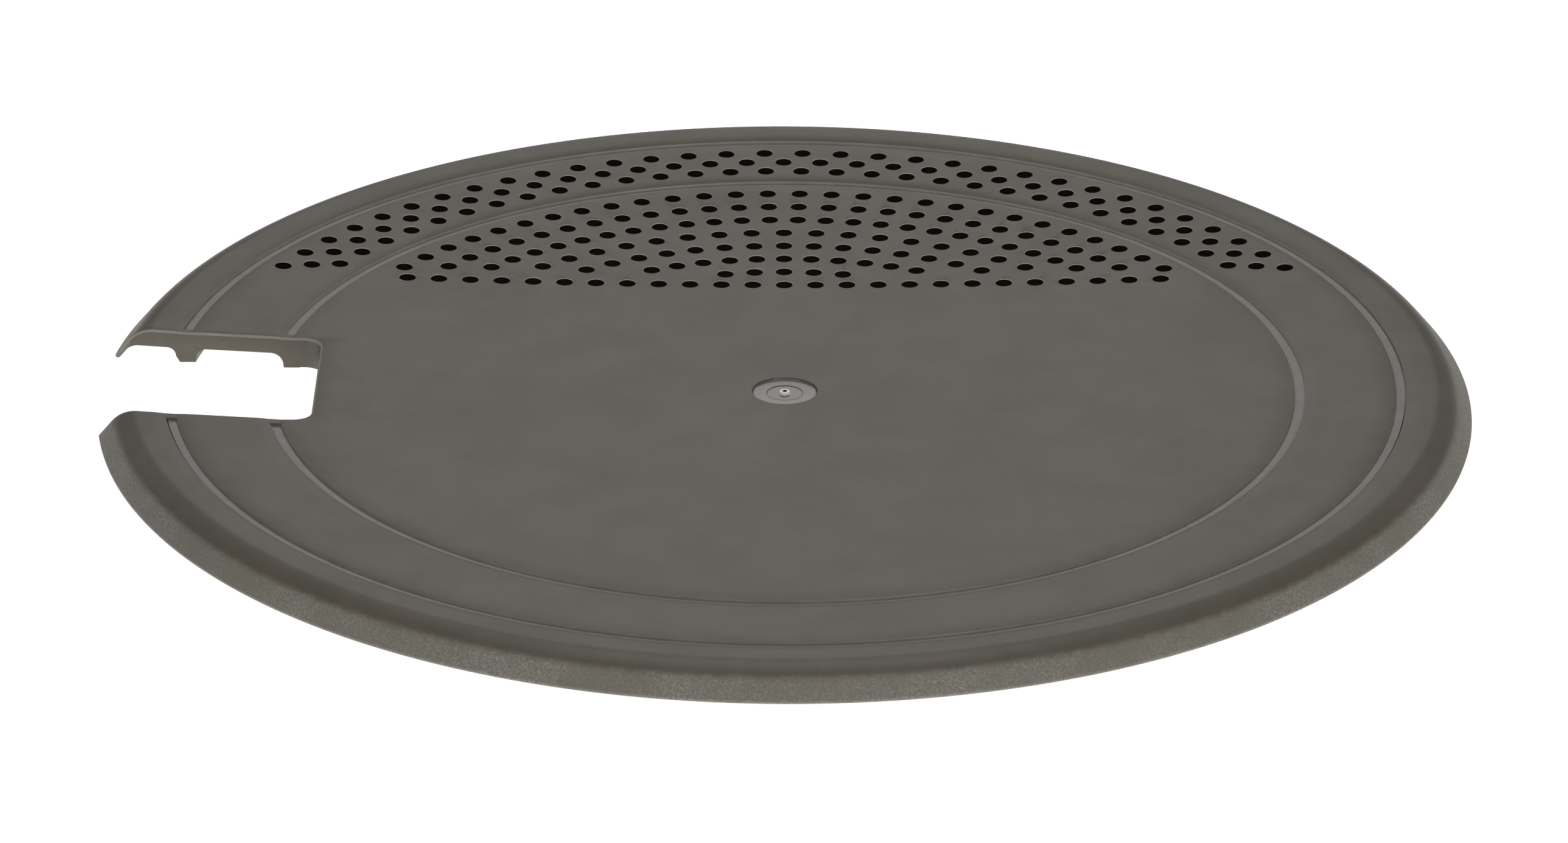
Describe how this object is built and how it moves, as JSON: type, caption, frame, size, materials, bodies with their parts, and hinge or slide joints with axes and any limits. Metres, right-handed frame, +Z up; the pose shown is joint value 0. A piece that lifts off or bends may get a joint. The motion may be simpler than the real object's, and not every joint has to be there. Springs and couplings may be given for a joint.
{
  "type": "manhole cover",
  "caption": "Round dished plastic cover for a small inspection chamber, with a perforated drain segment, cored annular ribs, a rolled rim and an edge notch for a pipe or cable",
  "frame": {"origin": "centre of the round cover, on the plane that the foot of its inner rib stands on", "axes": "+Z up out of the top surface, -X towards the notch in the edge, +Y towards the perforated drain segment"},
  "size_m": [0.2984, 0.3, 0.009],
  "materials": {
    "grained_plastic": "fine spark-eroded grain, matte dark warm grey, with bare polished floors in the grooves",
    "polished_plastic": "bare polished mould surface, a little lighter than the grain"
  },
  "bodies": {
    "root": {"centre_plate": "grained_plastic", "drain_field": "grained_plastic", "middle_band": "grained_plastic", "drain_band": "grained_plastic", "rolled_rim": "grained_plastic", "inner_rib": "grained_plastic", "outer_rib": "grained_plastic", "notch_lip": "grained_plastic", "gate_mark": "polished_plastic"}
  },
  "joints": []
}
